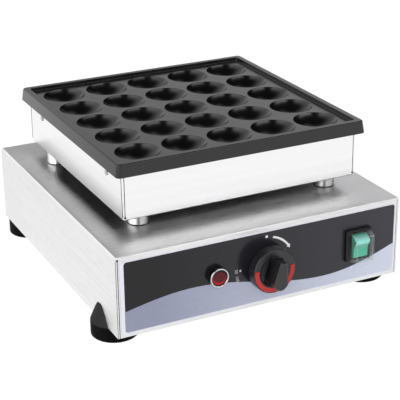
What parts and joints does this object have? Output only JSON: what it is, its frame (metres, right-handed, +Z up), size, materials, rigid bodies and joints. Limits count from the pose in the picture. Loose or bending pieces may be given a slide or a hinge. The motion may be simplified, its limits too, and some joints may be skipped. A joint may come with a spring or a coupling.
{
  "type": "electric mini pancake grill",
  "caption": "Countertop grill with a square cast plate of round cups on a polished housing, four posts and a folded steel base with a thermostat knob, lamp and rocker switch.",
  "frame": {"origin": "on the counter, under the middle of the whole object's outline", "axes": "+X to the right along the control panel, +Y from the controls to the back, +Z up"},
  "size_m": [0.339, 0.3996, 0.18],
  "materials": {
    "brushed_base": "brushed stainless sheet",
    "plain_sheet": "mill finish sheet",
    "polished_housing": "polished stainless sheet",
    "polished_post": "polished",
    "fastener": "zinc plated",
    "cast_plate": "cast, dark non-stick coating",
    "foot_rubber": "moulded",
    "insulation": "pressed mineral fibre",
    "element_tube": "heat darkened tube",
    "copper": "drawn copper",
    "overlay_film": "printed film",
    "thermostat_case": "moulded",
    "brass": "turned",
    "knob_black": "moulded, fine texture",
    "knob_red": "printed",
    "lamp_black": "moulded",
    "lamp_chrome": "polished",
    "lamp_red": "clear red",
    "lamp_glass": "clear",
    "switch_black": "moulded",
    "rocker_green": "translucent green",
    "hood_clear": "clear",
    "gland_plastic": "moulded",
    "gland_rubber": "moulded",
    "terminal_plastic": "moulded",
    "wire_red": "silicone",
    "wire_blue": "silicone",
    "wire_black": "silicone"
  },
  "bodies": {
    "cooker": {"base_shell": "brushed_base", "bottom_cover": "plain_sheet", "wire_sleeve": "plain_sheet", "upper_housing": "polished_housing", "post_front_left": "polished_post", "post_front_right": "polished_post", "post_back_left": "polished_post", "post_back_right": "polished_post", "cover_screws": "fastener", "foot_screws": "fastener", "foot_nuts": "fastener", "post_bolts": "fastener", "post_washers": "fastener", "post_nuts": "fastener", "plate_screws": "fastener", "clamp_screws": "fastener", "thermostat_screws": "fastener", "element_pins": "fastener", "switch_pin": "fastener", "bulb_clip": "fastener", "clamp_bar_front": "fastener", "clamp_bar_back": "fastener", "cooking_plate": "cast_plate", "foot_front_left": "foot_rubber", "foot_front_right": "foot_rubber", "foot_back_left": "foot_rubber", "foot_back_right": "foot_rubber", "insulating_pad": "insulation", "heating_element": "element_tube", "sensor_bulb": "copper", "capillary_tube": "copper", "control_overlay": "overlay_film", "thermostat_body": "thermostat_case", "switch_terminals": "brass", "terminal_screws": "brass", "earth_stud": "brass", "earth_nut": "brass", "lamp_body": "lamp_black", "lamp_nut": "lamp_black", "lamp_bezel": "lamp_chrome", "lamp_lens": "lamp_red", "lamp_bulb": "lamp_glass", "switch_body": "switch_black", "switch_hood": "hood_clear", "gland_body": "gland_plastic", "gland_locknut": "gland_plastic", "gland_cap": "gland_plastic", "gland_seal": "gland_rubber", "terminal_block": "terminal_plastic", "heater_wires": "wire_red", "supply_wires": "wire_blue", "lamp_wires": "wire_black"},
    "knob": {"knob": "knob_black", "knob_band": "knob_red", "thermostat_spindle": "brass"},
    "rocker": {"switch_rocker": "rocker_green"}
  },
  "joints": [
    {"name": "knob_turn", "type": "hinge", "parent": "cooker", "child": "knob", "pos_m": [0.0025, -0.1668, 0.061], "axis": [0, 1, 0], "range_deg": [0, 270]},
    {"name": "rocker_tilt", "type": "hinge", "parent": "cooker", "child": "rocker", "pos_m": [0.1093, -0.1668, 0.062], "axis": [-1, 0, 0], "range_deg": [0, 28]}
  ]
}
